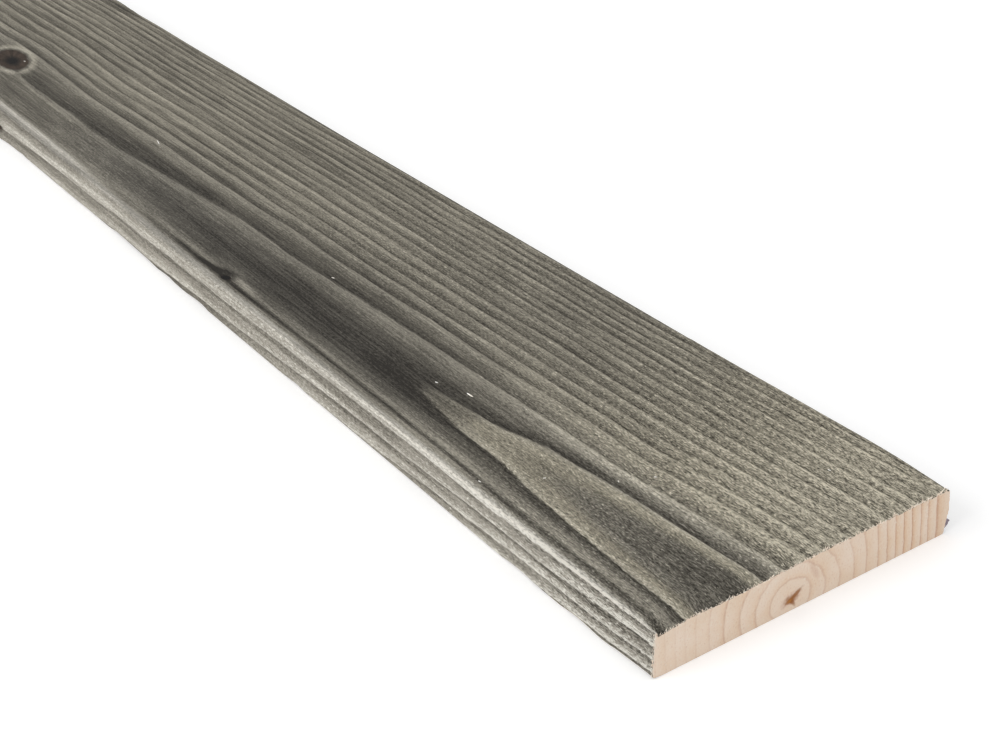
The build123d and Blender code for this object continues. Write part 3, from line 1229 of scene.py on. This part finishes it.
def floor_material():
    """A white floor that keeps the board's shadow."""
    material = bpy.data.materials.new("pale_floor")
    tree = empty_tree(material)
    matte = add(tree, "ShaderNodeBsdfDiffuse", {"Color": FLOOR_GREY})
    path = add(tree, "ShaderNodeLightPath").outputs
    seen = times(tree, path["Is Camera Ray"], FLOOR_GLOW)
    lift = add(tree, "ShaderNodeEmission", {"Color": WHITE, "Strength": seen})
    both = add(tree, "ShaderNodeAddShader", {0: matte.outputs[0], 1: lift.outputs[0]})
    output = tree.nodes.new("ShaderNodeOutputMaterial")
    tree.links.new(both.outputs[0], output.inputs[0])
    return material


def light_world(scene, level):
    """Even white light all round, seen as white by the camera and in reflections."""
    world = bpy.data.worlds.new("studio")
    tree = empty_tree(world)
    path = add(tree, "ShaderNodeLightPath").outputs
    shown = calc(tree, "MAXIMUM", path["Is Camera Ray"], path["Is Glossy Ray"])
    shown = calc(tree, "MAXIMUM", shown, path["Is Transmission Ray"])
    strength = remap(tree, shown, 0.0, 1.0, level, 1.0)
    background = add(tree, "ShaderNodeBackground", {"Color": WHITE, "Strength": strength})
    output = tree.nodes.new("ShaderNodeOutputWorld")
    tree.links.new(background.outputs[0], output.inputs[0])
    scene.world = world


def add_lamp(name, place, target, size, power):
    """A square soft lamp that looks at its target."""
    bpy.ops.object.light_add(type="AREA", location=place)
    lamp = bpy.context.object
    lamp.name = name
    lamp.data.size = size
    lamp.data.energy = power
    lamp.rotation_mode = "QUATERNION"
    lamp.rotation_quaternion = (Vector(target) - Vector(place)).to_track_quat("-Z", "Y")


def place_camera(scene, stage):
    """The camera stands where the photograph was taken from, off the sawn end."""
    back = Vector((
        math.sin(stage.azimuth) * math.cos(stage.elevation),
        -math.cos(stage.azimuth) * math.cos(stage.elevation),
        math.sin(stage.elevation),
    ))
    bpy.ops.object.camera_add(location=CAMERA_PLACE)
    camera = bpy.context.object
    camera.rotation_mode = "QUATERNION"
    camera.rotation_quaternion = (-back).to_track_quat("-Z", "Y")
    camera.data.sensor_width = SENSOR_WIDTH
    camera.data.lens = stage.lens
    camera.data.clip_start = 0.01
    scene.camera = camera


class BOARD_PT_sidebar(bpy.types.Panel):
    """Lists the board's pieces and their settings"""

    bl_label = "Weathered board"
    bl_idname = "BOARD_PT_sidebar"
    bl_space_type = "VIEW_3D"
    bl_region_type = "UI"
    bl_category = "Board"

    def draw(self, context):
        for settings in (context.scene.board_shape, context.scene.board_colours, context.scene.board_stage):
            box = self.layout.box()
            for name in settings.__annotations__:
                box.prop(settings, name)
        for operator in OPERATORS:
            self.layout.operator(operator.bl_idname)


OPERATORS = (
    BOARD_OT_weathered_board, BOARD_OT_edge_splinter, BOARD_OT_torn_fibres, BOARD_OT_loose_splinters,
    BOARD_OT_studio_stage,
)
CLASSES = (BoardShape, BoardColours, StageSettings, *OPERATORS, BOARD_PT_sidebar)


def register():
    for item in CLASSES:
        bpy.utils.register_class(item)
    bpy.types.Scene.board_shape = PointerProperty(type=BoardShape)
    bpy.types.Scene.board_colours = PointerProperty(type=BoardColours)
    bpy.types.Scene.board_stage = PointerProperty(type=StageSettings)


def unregister():
    del bpy.types.Scene.board_stage
    del bpy.types.Scene.board_colours
    del bpy.types.Scene.board_shape
    for item in reversed(CLASSES):
        bpy.utils.unregister_class(item)


def main():
    register()
    bpy.ops.board.weathered_board()
    bpy.ops.board.edge_splinter()
    bpy.ops.board.torn_fibres()
    bpy.ops.board.loose_splinters()
    bpy.ops.board.studio_stage()


if __name__ == "__main__":
    main()
